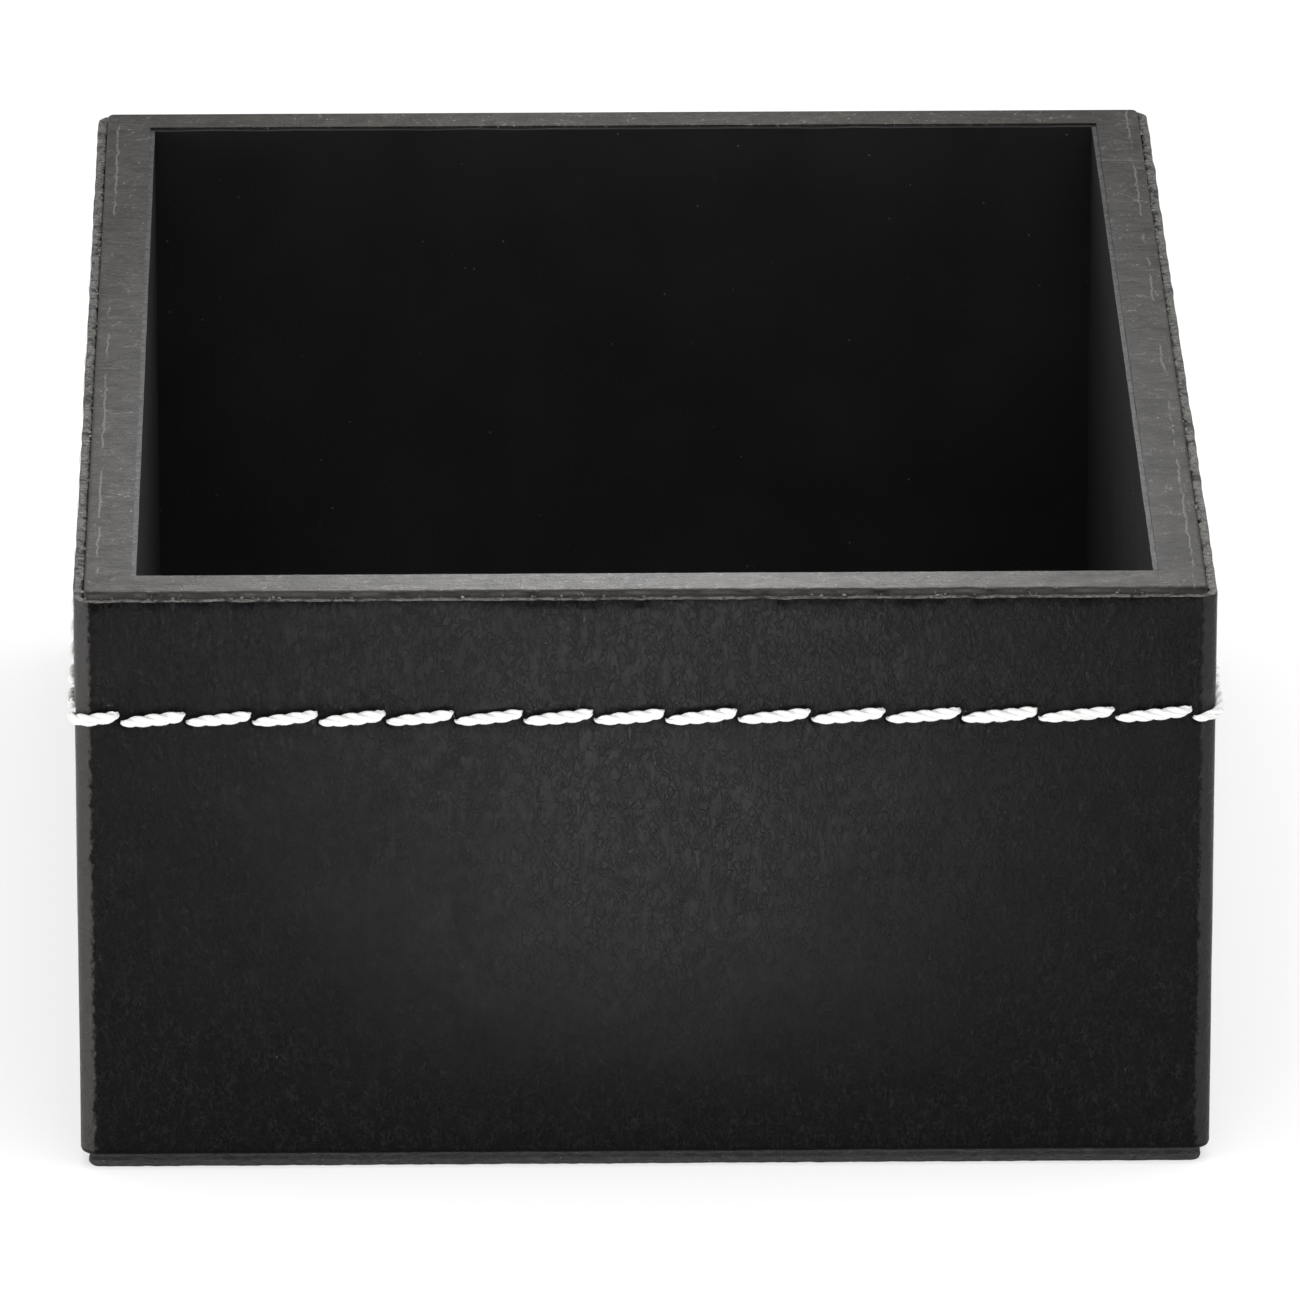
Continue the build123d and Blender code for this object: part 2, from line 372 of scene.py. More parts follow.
def base_sheet_finish():
    """Pressed grey fibre sheet, mottled, with paler and darker strands."""
    material = new_material("pressed_fibre", (0.06, 0.06, 0.063), 0.85, Specular_IOR_Level=0.3)
    n = Nodes(material)
    strands = n.noise(n.place((0.5, 0.5, 2.4)), 2.6, 5, 0.75, 1.2)
    mottle = n.noise(n.place((1, 1, 1)), 0.8, 3)
    tone = n.mix(n.between(strands, 0.35, 0.68), (0.010, 0.010, 0.0105), (0.085, 0.083, 0.084))
    tone = n.mix(n.between(mottle, 0.35, 0.6, 0.0, 0.55), tone, (0.035, 0.035, 0.037))
    fleck = n.between(n.noise(n.place((0.7, 0.7, 2)), 4.2, 3, 0.7), 0.68, 0.75)
    n.color(n.mix(fleck, tone, (0.34, 0.33, 0.32)))
    n.bump(strands, 0.15, 0.8)
    return material


def thread_finish():
    """White polyester sewing thread: fine filaments that run along each ply."""
    material = new_material("white_thread", (0.86, 0.86, 0.85), 0.5, Sheen_Weight=0.15)
    n = Nodes(material)
    uv = n.node("ShaderNodeTexCoord").outputs["UV"]
    drawn = n.node("ShaderNodeMapping", {"Vector": uv, "Scale": (1.1, 22, 1)}).outputs["Vector"]
    filament = n.noise(drawn, 1.0, 4, 0.65, 0.3)
    n.color(n.mix(n.between(filament, 0.36, 0.62), (0.64, 0.64, 0.63), (0.90, 0.90, 0.89)))
    n.bump(filament, 0.06, 0.85)
    return material


def bobbin_finish():
    """Plain black locking thread."""
    material = new_material("black_thread", (0.015, 0.015, 0.015), 0.6)
    n = Nodes(material)
    filament = n.noise(n.place((1, 1, 1)), 6, 4, 0.7)
    n.color(n.mix(filament, (0.008, 0.008, 0.008), (0.03, 0.03, 0.03)))
    n.bump(filament, 0.05, 0.6)
    return material


leather = leather_finish()
cut_edge = cut_edge_finish()
# One paint in lit and shaded copies: the front board's worn tone is paler, a painted sheen on its rim,
# and the back board's is darker, a painted shade, than the sides'.
side_paint = board_finish("side_board_paint", (0.45, 1.5, 0.5), (0.062, 0.058, 0.054))
front_paint = board_finish("front_board_paint", (0.14, 2.4, 0.9), (0.085, 0.08, 0.074))
back_paint = board_finish("back_board_paint", (0.10, 1.8, 0.9), (0.055, 0.048, 0.04))
panel_paint = board_finish("base_board_paint", (0.4, 0.4, 0.4), (0.06, 0.057, 0.053))
lining = lining_finish()
lining_edge = lining_edge_finish()
fibre_sheet = base_sheet_finish()
white_thread = thread_finish()
black_thread = bobbin_finish()


# Meshes


def new_piece(name, points, faces, materials, node, smooth=True):
    """A mesh piece that rides on the box and stands for a CAD node."""
    mesh = bpy.data.meshes.new(name)
    mesh.from_pydata(points, [], faces)
    mesh.validate()
    for material in materials:
        mesh.materials.append(material)
    for polygon in mesh.polygons:
        polygon.use_smooth = smooth
    mesh.update()
    piece = bpy.data.objects.new(name, mesh)
    bpy.context.scene.collection.objects.link(piece)
    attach(piece, "root")
    if node:
        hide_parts(node)
    return piece


def uneven(x, y, z, size):
    """Smooth noise from about -1 to 1, with features of the given size."""
    return noise.noise(Vector((x, y, z)) / size)


# The strip


def spaced(low, high, step):
    """Evenly spaced values from low to high, about a step apart, both ends included."""
    count = max(1, round((high - low) / step))
    return [low + (high - low) * i / count for i in range(count + 1)]


# Columns near a slit and halfway between two, in millimetres from them
AT_SLITS = (-0.8, -0.55, -0.38, -0.24, -0.12, 0, 0.12, 0.24, 0.38, 0.55, 0.8)
BETWEEN_SLITS = (-1.1, 0, 1.1)
CLOSEST_COLUMNS = 0.09 * MM
FOOT_ROUND = 0.35 * MM
SEWN_BAND = 1.5 * MM

# Depth and reach of the puckers, in millimetres
PUCKER_REACH = 3.0
SLIT_DEPTH, SLIT_ACROSS, SLIT_LENGTHWISE = 0.24, 0.20, 0.66
PAN_DEPTH, PAN_ALONG, PAN_UP = 0.07, 1.3, 1.2
PRESSED_DEPTH, PRESSED_UP = 0.05, 0.65
LIP_HEIGHT, LIP_AT, LIP_UP = 0.03, 1.1, 0.4

# Slack of the leather, in millimetres
WAVE = 0.05
LOOSE_AT_THE_SIDES = 0.13
LOOSE_ELSEWHERE = 0.03


def strip_columns():
    """Distances along the strip, close together at the slits and round the corners."""
    wanted = [hole + step * MM for hole in HOLES for step in AT_SLITS]
    for a, b in zip(HOLES, HOLES[1:]):
        wanted += [(a + b) / 2 + step * MM for step in BETWEEN_SLITS]
    for start, length, _, _, bent in LEGS:
        wanted += spaced(start, start + length, 0.2 * MM if bent else 0.45 * MM)
    columns = []
    for s in sorted(w for w in wanted if SEAM_GAP / 2 <= w <= ROUND - SEAM_GAP / 2):
        if not columns or s - columns[-1] > CLOSEST_COLUMNS:
            columns.append(s)
    columns[0] = SEAM_GAP / 2
    columns[-1] = ROUND - SEAM_GAP / 2
    return columns


def nearest_hole(s):
    """The slit nearest to a distance along the strip."""
    return min(HOLES, key=lambda hole: abs(hole - s))


def pucker(s, up):
    """How the sewing draws the strip in: a deep slit, a shallow pan round it and raised lips."""
    gap = s - nearest_hole(s)
    if abs(up) > PUCKER_REACH * MM:
        return 0.0
    across = (gap * math.cos(SLIT_LEAN) + up * math.sin(SLIT_LEAN)) / MM
    lengthwise = (up * math.cos(SLIT_LEAN) - gap * math.sin(SLIT_LEAN)) / MM
    slit = math.exp(-(((across / SLIT_ACROSS) ** 2 + (lengthwise / SLIT_LENGTHWISE) ** 2) ** 1.3))
    pan = math.exp(-((gap / MM / PAN_ALONG) ** 2 + (up / MM / PAN_UP) ** 2))
    pressed = math.exp(-((up / MM / PRESSED_UP) ** 2))
    lips = math.exp(-(((abs(up) / MM - LIP_AT) / LIP_UP) ** 2)) * (0.6 + 0.4 * math.cos(gap / MM))
    return MM * (-SLIT_DEPTH * slit - PAN_DEPTH * pan - PRESSED_DEPTH * pressed + LIP_HEIGHT * lips)


def strip_wave(point, s, z):
    """The slight unevenness of leather that was stretched and glued by hand."""
    broad = uneven(point.x, point.y, z, 17 * MM) + 0.5 * uneven(point.y, z, point.x, 7 * MM)
    loose = math.exp(-(EDGE - z) / (1.6 * MM)) * uneven(s, z, 4, 3.3 * MM)
    along_side = abs(point.x) / (WIDTH / 2) > 0.98
    slack = LOOSE_AT_THE_SIDES if along_side else LOOSE_ELSEWHERE
    return MM * (WAVE * broad + slack * loose)


def make_strip():
    """The wrapped strip with its rounded foot, cut top edge, sewn row and butt seam."""
    columns = strip_columns()
    rows = spaced(FOOT + FOOT_ROUND, ROW - SEWN_BAND, 1.3 * MM)[:-1]
    rows += spaced(ROW - SEWN_BAND, ROW + SEWN_BAND, 0.15 * MM)[:-1]
    rows += spaced(ROW + SEWN_BAND, EDGE - 0.12 * MM, 1.1 * MM)
    foot = [(-0.75, FOOT + 0.02 * MM), (-0.35, FOOT), (-0.1, FOOT + 0.1 * MM)]
    profile = [(out * MM, z, "foot") for out, z in foot]
    profile += [(0, z, "face") for z in rows]
    profile += [(-0.05 * MM, EDGE - 0.03 * MM, "top"), (-0.2 * MM, EDGE, "top")]
    profile += [(-0.45 * MM, EDGE, "top"), (-0.7 * MM, EDGE - 0.02 * MM, "top")]
    profile += [(-0.86 * MM, EDGE - 0.08 * MM, "lip")]
    back = spaced(EDGE - 0.6 * MM, FOOT + 0.3 * MM, 12 * MM)
    profile += [(-LEATHER, z, "back") for z in back]
    count = len(profile)
    points, faces = [], []
    for s in columns:
        point, _, outward = along_strip(s)
        frayed = uneven(s, 0, 0, 2.1 * MM) + 0.8 * uneven(s, 1, 0, 0.6 * MM)
        crumbs = max(0.0, uneven(s, 2, 0, 1.1 * MM) + 0.5 * uneven(s, 3, 0, 0.5 * MM) - 0.05)
        for out, z, part in profile:
            if part == "face":
                out += pucker(s, z - ROW) + strip_wave(point, s, z)
            elif part == "foot":
                z += 0.05 * MM * uneven(s, 3, 0, 3 * MM)
            elif part == "top":
                z += 0.07 * MM * frayed - 0.16 * MM * crumbs * (out / LEATHER) ** 2
                out += 0.015 * MM * frayed
            elif part == "lip":
                out += 0.6 * MM * crumbs
                z -= 0.4 * MM * crumbs
            points.append(point + outward * out + Vector((0, 0, z)))
    for i in range(len(columns) - 1):
        for j in range(count):
            k = (j + 1) % count
            faces.append((i * count + j, (i + 1) * count + j, (i + 1) * count + k, i * count + k))
    faces.append(tuple(range(count)))
    faces.append(tuple((len(columns) - 1) * count + j for j in reversed(range(count))))
    piece = new_piece("leather_strip", points, faces, [leather, cut_edge], "leather_wrap")
    parts = [part for _, _, part in profile]
    for number, polygon in enumerate(piece.data.polygons):
        if number >= (len(columns) - 1) * count:
            polygon.material_index = 1
            polygon.use_smooth = False
        elif parts[number % count] in ("top", "lip", "back"):
            polygon.material_index = 1
    return piece


strip = make_strip()


# The threads


def smooth_path(keys, steps):
    """Catmull-Rom points through keys of (position, radius, flatness, outward)."""
    path = []
    for i in range(len(keys) - 1):
        quad = [keys[max(i - 1, 0)], keys[i], keys[i + 1], keys[min(i + 2, len(keys) - 1)]]
        for step in range(steps):
            t = step / steps
            weights = (
                (-t + 2 * t * t - t**3) / 2,
                (2 - 5 * t * t + 3 * t**3) / 2,
                (t + 4 * t * t - 3 * t**3) / 2,
                (t**3 - t * t) / 2,
            )
            place = sum((key[0] * weight for key, weight in zip(quad, weights)), Vector())
            blend = [quad[1][k] * (1 - t) + quad[2][k] * t for k in (1, 2)]
            path.append((place, *blend, (quad[1][3] * (1 - t) + quad[2][3] * t).normalized()))
    path.append(keys[-1])
    return path


PLIES = 3
TURN_LENGTH = 4.4 * MM
PLY_REACH = 0.5
PLY_RADIUS = 0.56
BOBBIN_RADIUS = 0.15 * MM
PRESSED_FLAT = 0.8
SUNK = 0.05 * MM
LEG_DEPTH = -0.4 * MM
LEG_RADIUS = 0.14 * MM
LINK_DEPTH = -0.5 * MM
LINK_RADIUS = 0.12 * MM
# One stitch: shares of its length, and its radius there in millimetres
STITCH_SHARES = (0.02, 0.08, 0.18, 0.34, 0.52, 0.7, 0.85, 0.94, 0.985)
STITCH_RADII = (0.2, 0.35, 0.46, 0.52, 0.54, 0.54, 0.52, 0.45, 0.28)


def needle_keys():
    """Key points of the one white thread: over the strip, down a slit, under and up again."""
    dice = random.Random(41)
    rise = SLIT_SPREAD / 2 * math.cos(SLIT_LEAN)
    step = SLIT_SPREAD / 2 * math.sin(SLIT_LEAN)
    keys = []

    def key(s, out, up, radius, flat):
        keys.append((on_strip(s, out, ROW + up), radius, flat, along_strip(s)[2]))

    for a, b in zip(HOLES, HOLES[1:]):
        start, end = a + step, b - step
        plump = dice.uniform(0.93, 1.06)
        lift = rise * dice.uniform(0.9, 1.12)
        key(start - 0.05 * MM, LEG_DEPTH, -lift, LEG_RADIUS, 1)
        for share, size in zip(STITCH_SHARES, STITCH_RADII):
            radius = size * plump * MM
            up = lift * (2 * share - 1) + 0.04 * MM * math.sin(2 * math.pi * share)
            key(start + (end - start) * share, radius * 0.72 - SUNK, up, radius, PRESSED_FLAT)
        key(end + 0.05 * MM, LEG_DEPTH, lift, LEG_RADIUS, 1)
        key(b, LINK_DEPTH, 0, LINK_RADIUS, 1)
    keys.pop()
    return keys


def twisted(name, path, plies, turn_length, ring, material, node):
    """Plies wound round a path; radius, flatness and outward side come with each point."""
    points, faces, uvs = [], [], []
    side = path[0][3].cross(path[1][0] - path[0][0]).normalized()
    frames, run = [], 0.0
    for i, (place, radius, flat, outward) in enumerate(path):
        ahead = (path[min(i + 1, len(path) - 1)][0] - path[max(i - 1, 0)][0]).normalized()
        side = (side - ahead * side.dot(ahead)).normalized()
        frames.append((place, radius, flat, outward, side, ahead.cross(side), run))
        if i < len(path) - 1:
            run += (path[i + 1][0] - place).length
    for ply in range(plies):
        base = len(points)
        for place, radius, flat, outward, side, up, run in frames:
            turn = 2 * math.pi * (ply / plies + run / turn_length)
            reach = radius * (PLY_REACH if plies > 1 else 0)
            own = radius * (PLY_RADIUS if plies > 1 else 1)
            centre = (side * math.cos(turn) + up * math.sin(turn)) * reach
            for r in range(ring):
                angle = 2 * math.pi * r / ring + turn
                offset = centre + (side * math.cos(angle) + up * math.sin(angle)) * own
                offset -= outward * offset.dot(outward) * (1 - flat)
                points.append(place + offset)
                uvs.append((run / MM, r / ring))
        for i in range(len(frames) - 1):
            for r in range(ring):
                a, b = base + i * ring + r, base + i * ring + (r + 1) % ring
                faces.append((a, b, b + ring, a + ring))
        faces.append(tuple(base + r for r in reversed(range(ring))))
        faces.append(tuple(base + (len(frames) - 1) * ring + r for r in range(ring)))
    piece = new_piece(name, points, faces, [material], node)
    layer = piece.data.uv_layers.new(name="along")
    for loop in piece.data.loops:
        layer.data[loop.index].uv = uvs[loop.vertex_index]
    return piece


def bobbin_keys():
    """The locking thread, straight along its channel at the back of the strip."""
    stops = spaced(ROW_END, ROUND - ROW_END, 2.5 * MM)
    for start, length, _, _, bent in LEGS:
        if bent:
            stops += spaced(start, start + length, 0.4 * MM)
    out = BOBBIN_RADIUS - LEATHER
    return [(on_strip(s, out, ROW), BOBBIN_RADIUS, 1, along_strip(s)[2]) for s in sorted(stops)]


sewn_path = smooth_path(needle_keys(), 3)
twisted("white_stitches", sewn_path, PLIES, TURN_LENGTH, 10, white_thread, "needle_thread")
twisted("locking_thread", bobbin_keys(), 1, 3 * MM, 8, black_thread, "bobbin_thread")


# Linings and base sheet

LINING_WAVE = 0.05
RAGGED_TOP = 0.08
SHEET_CORNER = 1.0 * MM
QUARTER_STEPS = 6
SHEET_LEVELS = (0.0, 0.12, 0.3, 0.5, 0.7, 0.88, 1.0)
TORN_EDGE = 0.09
# How far the sheet's edge is drawn in: at its foot, below the middle and above it, in millimetres
FOOT_INSET, LOWER_INSET, UPPER_INSET = 0.12, 0.04, 0.24


def box_grid(low, high, step):
    """A closed box of small faces: points, faces and which face lies on which side."""
    counts = [max(1, round((high[k] - low[k]) / step[k])) for k in range(3)]
    points, index, faces, sides = [], {}, [], []

    def point(i, j, k):
        if (i, j, k) not in index:
            index[i, j, k] = len(points)
            share = (i / counts[0], j / counts[1], k / counts[2])
            points.append(Vector([low[a] + (high[a] - low[a]) * share[a] for a in range(3)]))
        return index[i, j, k]

    for axis in range(3):
        first, second = [a for a in range(3) if a != axis]
        for level, outward in ((0, -1), (counts[axis], 1)):
            for i in range(counts[first]):
                for j in range(counts[second]):
                    corner = []
                    for di, dj in ((0, 0), (1, 0), (1, 1), (0, 1)):
                        at = [0, 0, 0]
                        at[axis], at[first], at[second] = level, i + di, j + dj
                        corner.append(point(*at))
                    if (outward > 0) == (axis == 1):
                        corner.reverse()
                    faces.append(corner)
                    sides.append((axis, outward))
    return points, faces, sides


def make_lining(node, wall_axis, inward):
    """A lining sheet: flat on its board, faintly wavy inside, with a slightly ragged top edge."""
    low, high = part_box(node)
    step = [3 * MM] * 3
    step[wall_axis] = 1.0
    step[2] = 2.5 * MM if wall_axis != 2 else 1.0
    if wall_axis != 2:
        step[1 - wall_axis] = 1.5 * MM
    points, faces, sides = box_grid(low, high, step)
    for point in points:
        inside = (point[wall_axis] > (low[wall_axis] + high[wall_axis]) / 2) == (inward > 0)
        if inside:
            point[wall_axis] += inward * LINING_WAVE * MM * (uneven(*point, 11 * MM) - 0.3)
        if wall_axis != 2 and point.z > high.z - MM:
            run = point[1 - wall_axis]
            point.z += RAGGED_TOP * MM * uneven(run, inward, 0, 4 * MM) - 0.03 * MM * inside
    finishes = [lining, lining_edge]
    piece = new_piece(node + "_sheet", points, faces, finishes, node, smooth=False)
    for polygon, side in zip(piece.data.polygons, sides):
        if wall_axis != 2 and side == (2, 1) and node != "back_lining":
            polygon.material_index = 1
    return piece


make_lining("floor_lining", 2, 1)
make_lining("front_lining", 1, 1)
make_lining("back_lining", 1, -1)
make_lining("left_lining", 0, 1)
make_lining("right_lining", 0, -1)


def rounded_outline(half_x, half_y, radius, step):
    """Points round a rectangle with rounded corners, with their outward directions."""
    outline = []
    centres = [(1, 1, 0), (-1, 1, 1), (-1, -1, 2), (1, -1, 3)]
    for sx, sy, quarter in centres:
        centre = Vector((sx * (half_x - radius), sy * (half_y - radius), 0))
        for i in range(QUARTER_STEPS + 1):
            angle = (quarter + i / QUARTER_STEPS) * math.pi / 2
            outline.append((centre + Vector((math.cos(angle), math.sin(angle), 0)) * radius, angle))
    full = []
    for (a, angle), (b, _) in zip(outline, outline[1:] + outline[:1]):
        pieces = max(1, round((b - a).length / step))
        for i in range(pieces):
            full.append((a.lerp(b, i / pieces), Vector((math.cos(angle), math.sin(angle), 0))))
    return full


def make_base_sheet():
    """The fibre sheet under the box, with a torn, fibrous edge."""
    low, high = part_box("base_sheet")
    outline = rounded_outline(high.x, high.y, SHEET_CORNER, 0.35 * MM)
    points, faces = [], []
    for place, outward in outline:
        for level in SHEET_LEVELS:
            z = low.z + (high.z - low.z) * level
            rough = uneven(place.x, place.y, 3 * z, 0.8 * MM)
            rough += 0.6 * uneven(place.y, place.x, 5 * z, 0.35 * MM)
            inset = FOOT_INSET if level == 0 else (LOWER_INSET if level < 0.6 else UPPER_INSET)
            points.append(place + outward * MM * (TORN_EDGE * rough - inset) + Vector((0, 0, z)))
    rows = len(SHEET_LEVELS)
    count = len(outline)
    for i in range(count):
        k = (i + 1) % count
        for j in range(rows - 1):
            faces.append((i * rows + j, k * rows + j, k * rows + j + 1, i * rows + j + 1))
    faces.append(tuple(i * rows for i in reversed(range(count))))
    faces.append(tuple(i * rows + rows - 1 for i in range(count)))
    node = "base_sheet"
    return new_piece("fibre_base_sheet", points, faces, [fibre_sheet], node, smooth=False)


make_base_sheet()


# Crumbs of glue, loose fibres and dust

CRUMBS_PER_MM = 0.8
CRUMB_SIZES = (0.05, 0.07, 0.1, 0.14, 0.2)
CRUMB_SIDES = 6
CRUMB_RINGS = ((-1, 0), (-0.55, 0.85), (0.1, 1), (0.65, 0.75), (1, 0))
FIBRES = 110
FIBRE_SIDES = 5
DUST_Y = -24 * MM
DUST_TOP = 49.5 * MM
DUST_BOTTOM = 42.3 * MM


def crumb(dice, centre, size, points, faces):
    """A small lumpy closed grain."""
    base = len(points)
    for ring, (height, width) in enumerate(CRUMB_RINGS):
        for i in range(CRUMB_SIDES if width else 1):
            angle = math.pi / 3 * (i + ring / 2)
            lump = size * dice.uniform(0.7, 1.25)
            spot = Vector((math.cos(angle) * width, math.sin(angle) * width, height)) * lump
            points.append(centre + Vector((spot.x, spot.y, spot.z * 0.7)))
    first, second, third, top = (base + 1 + CRUMB_SIDES * ring for ring in range(4))
    for i in range(CRUMB_SIDES):
        k = (i + 1) % CRUMB_SIDES
        faces.append((base, first + k, first + i))
        for row, above in ((first, second), (second, third)):
            faces.append((row + i, row + k, above + k, above + i))
        faces.append((third + i, third + k, top))


def fibre(spots, radius, points, faces):
    """A thin closed hair through its spots, pointed at both ends."""
    base = len(points)
    last = len(spots) - 1
    for i, spot in enumerate(spots):
        ahead = (spots[min(i + 1, last)] - spots[max(i - 1, 0)]).normalized()
        side = ahead.orthogonal().normalized()
        up = ahead.cross(side)
        thick = radius * (0.35 if i in (0, last) else 1)
        for r in range(FIBRE_SIDES):
            angle = 2 * math.pi * r / FIBRE_SIDES
            points.append(spot + (side * math.cos(angle) + up * math.sin(angle)) * thick)
    for i in range(last):
        for r in range(FIBRE_SIDES):
            a = base + i * FIBRE_SIDES + r
            b = base + i * FIBRE_SIDES + (r + 1) % FIBRE_SIDES
            faces.append((a, b, b + FIBRE_SIDES, a + FIBRE_SIDES))
    faces.append(tuple(base + r for r in reversed(range(FIBRE_SIDES))))
    faces.append(tuple(base + last * FIBRE_SIDES + r for r in range(FIBRE_SIDES)))


def crumb_finish():
    """Dried glue and paper fibre, dusty grey."""
    material = new_material("glue_crumbs", (0.16, 0.155, 0.15), 0.7)
    n = Nodes(material)
    mottle = n.noise(n.place((1, 1, 1)), 2.4, 3)
    n.color(n.mix(n.between(mottle, 0.4, 0.6), (0.012, 0.0115, 0.011), (0.26, 0.25, 0.235)))
    return material


def make_crumbs():
    """What the trimming knife and the glue left in the groove between the strip and the boards."""
    dice = random.Random(7)
    points, faces = [], []
    for _ in range(int(ROUND / MM * CRUMBS_PER_MM)):
        s = dice.uniform(0, ROUND)
        size = MM * dice.choice(CRUMB_SIZES)
        out = -LEATHER + dice.uniform(0.0, 0.28) * MM
        spot = on_strip(s, out, EDGE + dice.uniform(-0.04, 0.04) * MM)
        crumb(dice, spot, size, points, faces)
    for _ in range(FIBRES):
        s = dice.uniform(2 * MM, ROUND - 2 * MM)
        reach = dice.uniform(0.25, 0.9) * MM
        drift = dice.uniform(-0.5, 0.5) * MM
        rise = dice.uniform(0.1, 0.42) * MM
        spots = []
        for i in range(6):
            share = i / 5
            out = -LEATHER + 0.12 * MM + (share - 0.3) * reach
            bow = rise * math.sin(math.pi * (0.1 + 0.9 * share))
            bow += 0.03 * MM * math.sin(9 * share + s / MM)
            spots.append(on_strip(s + drift * share**1.5, out, EDGE + bow))
        fibre(spots, dice.uniform(0.016, 0.034) * MM, points, faces)
    return new_piece("glue_crumbs", points, faces, [crumb_finish()], None)


def make_dust():
    """A short row of dust specks on the right lining."""
    dice = random.Random(19)
    points, faces = [], []
    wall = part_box("right_lining")[0].x
    for height in spaced(DUST_BOTTOM, DUST_TOP, 0.42 * MM):
        if dice.random() < 0.75:
            spot = Vector((wall + 0.02 * MM, DUST_Y + dice.uniform(-0.06, 0.06) * MM, height))
            crumb(dice, spot, dice.uniform(0.03, 0.06) * MM, points, faces)
    return new_piece("dust_specks", points, faces, [crumb_finish()], None)


make_crumbs()
make_dust()

board_paints = {
    "left_board": side_paint,
    "right_board": side_paint,
    "front_board": front_paint,
    "back_board": back_paint,
    "base_board": panel_paint,
}
for board_name, paint in board_paints.items():
    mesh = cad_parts[board_name].data
    mesh.materials.clear()
    mesh.materials.append(paint)


# Studio

FLOOR_HALF = 3.0
WHITE_TO_THE_EYE = 0.55
NEAR_SIDE_LEVEL = 0.12


def make_floor():
    """A pale floor. To the eye it is partly plain white, which pales the box's shadow on it."""
    mesh = bpy.data.meshes.new("studio_floor")
    corners = [(x * FLOOR_HALF, y * FLOOR_HALF, 0) for x, y in ((-1, -1), (1, -1), (1, 1), (-1, 1))]
    mesh.from_pydata(corners, [], [(0, 1, 2, 3)])
    material = new_material("studio_paper", (0.97, 0.97, 0.97), 0.9, Specular_IOR_Level=0.1)
    n = Nodes(material)
    tree = material.node_tree
    white = tree.nodes.new("ShaderNodeEmission")
    shade = tree.nodes.new("ShaderNodeMixShader")
    seen = n.node("ShaderNodeLightPath").outputs["Is Camera Ray"]
    eye = n.math("MULTIPLY", seen, WHITE_TO_THE_EYE)
    output = next(node for node in tree.nodes if node.type == "OUTPUT_MATERIAL")
    paper = output.inputs["Surface"].links[0].from_socket
    tree.links.new(eye, shade.inputs[0])
    tree.links.new(paper, shade.inputs[1])
    tree.links.new(white.outputs[0], shade.inputs[2])
    tree.links.new(shade.outputs[0], output.inputs["Surface"])
    mesh.materials.append(material)
    floor = bpy.data.objects.new("studio_floor", mesh)
    bpy.context.scene.collection.objects.link(floor)


def make_world():
    """White light from behind and beside the box, dim on the near side, and plain white to the eye."""
    world = bpy.data.worlds.new("studio")
    world.use_nodes = True
    bpy.context.scene.world = world
    tree = world.node_tree
    background = tree.nodes["Background"]

    def join(kind, first, second):
        made = tree.nodes.new("ShaderNodeMath")
        made.operation = kind
        tree.links.new(first, made.inputs[0])
        tree.links.new(second, made.inputs[1])
        return made.outputs[0]

    toward = tree.nodes.new("ShaderNodeSeparateXYZ")
    tree.links.new(tree.nodes.new("ShaderNodeTexCoord").outputs["Generated"], toward.inputs[0])
    depth = tree.nodes.new("ShaderNodeMapRange")
    depth.inputs["From Min"].default_value = -0.75
    depth.inputs["From Max"].default_value = 0.1
    depth.inputs["To Min"].default_value = NEAR_SIDE_LEVEL
    tree.links.new(toward.outputs["Y"], depth.inputs["Value"])
    path = tree.nodes.new("ShaderNodeLightPath")
    seen = join("MAXIMUM", path.outputs["Is Camera Ray"], path.outputs["Is Transmission Ray"])
    tree.links.new(join("MAXIMUM", depth.outputs["Result"], seen), background.inputs["Strength"])
    background.inputs["Color"].default_value = (1, 1, 1, 1)


def softbox(name, place, aim, size, power, spread=180):
    """An area lamp at a place, aimed at a point; a smaller spread makes a narrower beam."""
    lamp = bpy.data.lights.new(name, "AREA")
    lamp.shape = "RECTANGLE"
    lamp.size, lamp.size_y = size
    lamp.energy = power
    lamp.spread = math.radians(spread)
    holder = bpy.data.objects.new(name, lamp)
    holder.location = place
    holder.rotation_euler = (Vector(place) - Vector(aim)).to_track_quat("Z", "Y").to_euler()
    holder.visible_camera = False
    bpy.context.scene.collection.objects.link(holder)


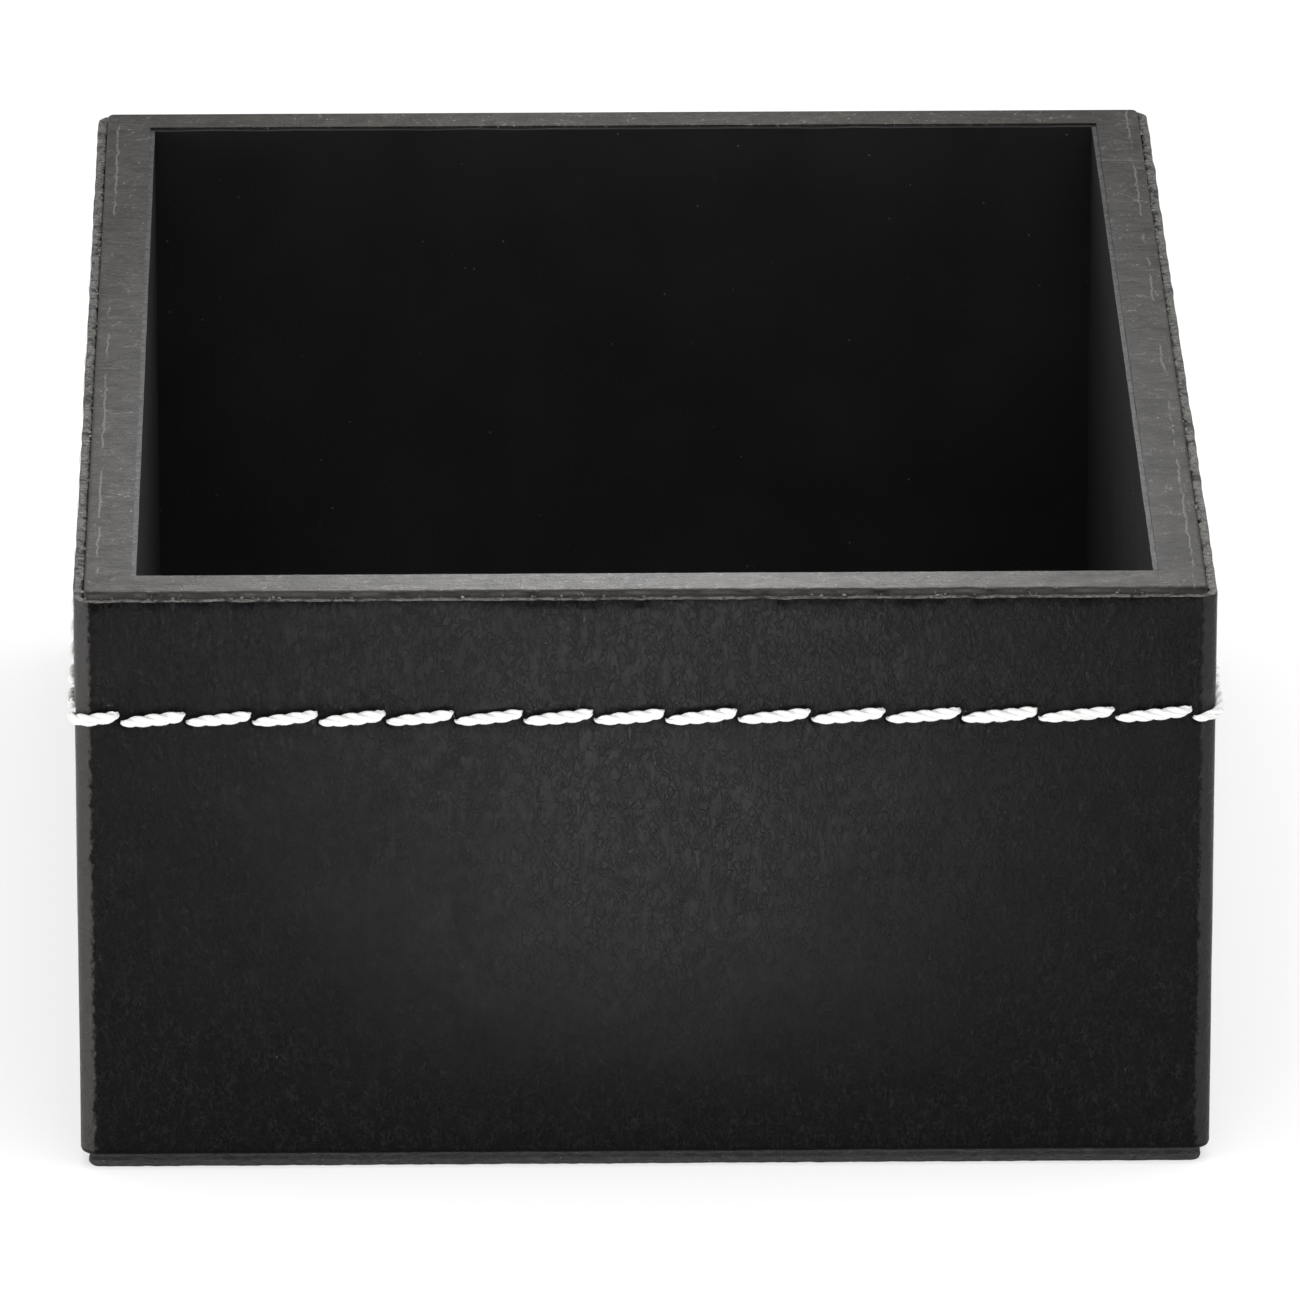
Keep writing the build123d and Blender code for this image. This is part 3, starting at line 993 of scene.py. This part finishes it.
def make_lamps():
    """Soft light from above and both sides, and three small lamps.

    The card and the pool of light on the floor, which the strip mirrors, give the front its glow.
    The lamp behind gives the rim its sheen.
    """
    softbox("top_softbox", (0.1, -0.3, 1.0), (0, 0, 0), (1.2, 1.0), 8.5)
    softbox("left_panel", (-0.45, -0.22, 0.12), (0, -0.05, 0.03), (0.3, 0.24), 0.8)
    softbox("right_panel", (0.5, -0.22, 0.12), (0, -0.05, 0.03), (0.3, 0.24), 0.4)
    softbox("front_card", (0, -0.2, 0.016), (0, -0.06, 0.03), (0.045, 0.03), 0.08)
    softbox("floor_pool", (0, -0.158, 0.4), (0, -0.158, 0), (0.02, 0.1), 0.19, 8)
    softbox("back_lamp", (0, 0.45, 0.25), (0, -0.06, 0.053), (0.05, 0.03), 0.0115, 12)


# Camera: a long lens, slightly above and turned a little, as in the photograph

FRAME_PIXELS = 1300
FOCAL_PIXELS = 14713
SENSOR = 36.0
CLIP = (0.05, 20)
CAMERA_DISTANCE = 1.3279
CAMERA_PITCH = math.radians(21.17)
CAMERA_YAW = math.radians(-1.02)
CAMERA_ROLL = math.radians(0.06)
CAMERA_AIM = Vector((0.00147, 0, 0.02352))


def make_camera():
    """The camera at its place, with its roll."""
    flat = math.cos(CAMERA_PITCH)
    back = Vector((math.sin(CAMERA_YAW) * flat, -math.cos(CAMERA_YAW) * flat, math.sin(CAMERA_PITCH)))
    right = (-back).cross(Vector((0, 0, 1))).normalized()
    up = right.cross(-back)
    rolled_right = right * math.cos(CAMERA_ROLL) + up * math.sin(CAMERA_ROLL)
    rolled_up = up * math.cos(CAMERA_ROLL) - right * math.sin(CAMERA_ROLL)
    lens = bpy.data.cameras.new("camera")
    lens.sensor_width = SENSOR
    lens.lens = FOCAL_PIXELS / FRAME_PIXELS * SENSOR
    lens.clip_start, lens.clip_end = CLIP
    camera = bpy.data.objects.new("camera", lens)
    place = CAMERA_AIM + back * CAMERA_DISTANCE
    axes = Matrix((rolled_right, rolled_up, back)).transposed()
    camera.matrix_world = Matrix.Translation(place) @ axes.to_4x4()
    bpy.context.scene.collection.objects.link(camera)
    bpy.context.scene.camera = camera


make_floor()
make_world()
make_lamps()
make_camera()
bpy.context.scene.view_settings.view_transform = "Standard"
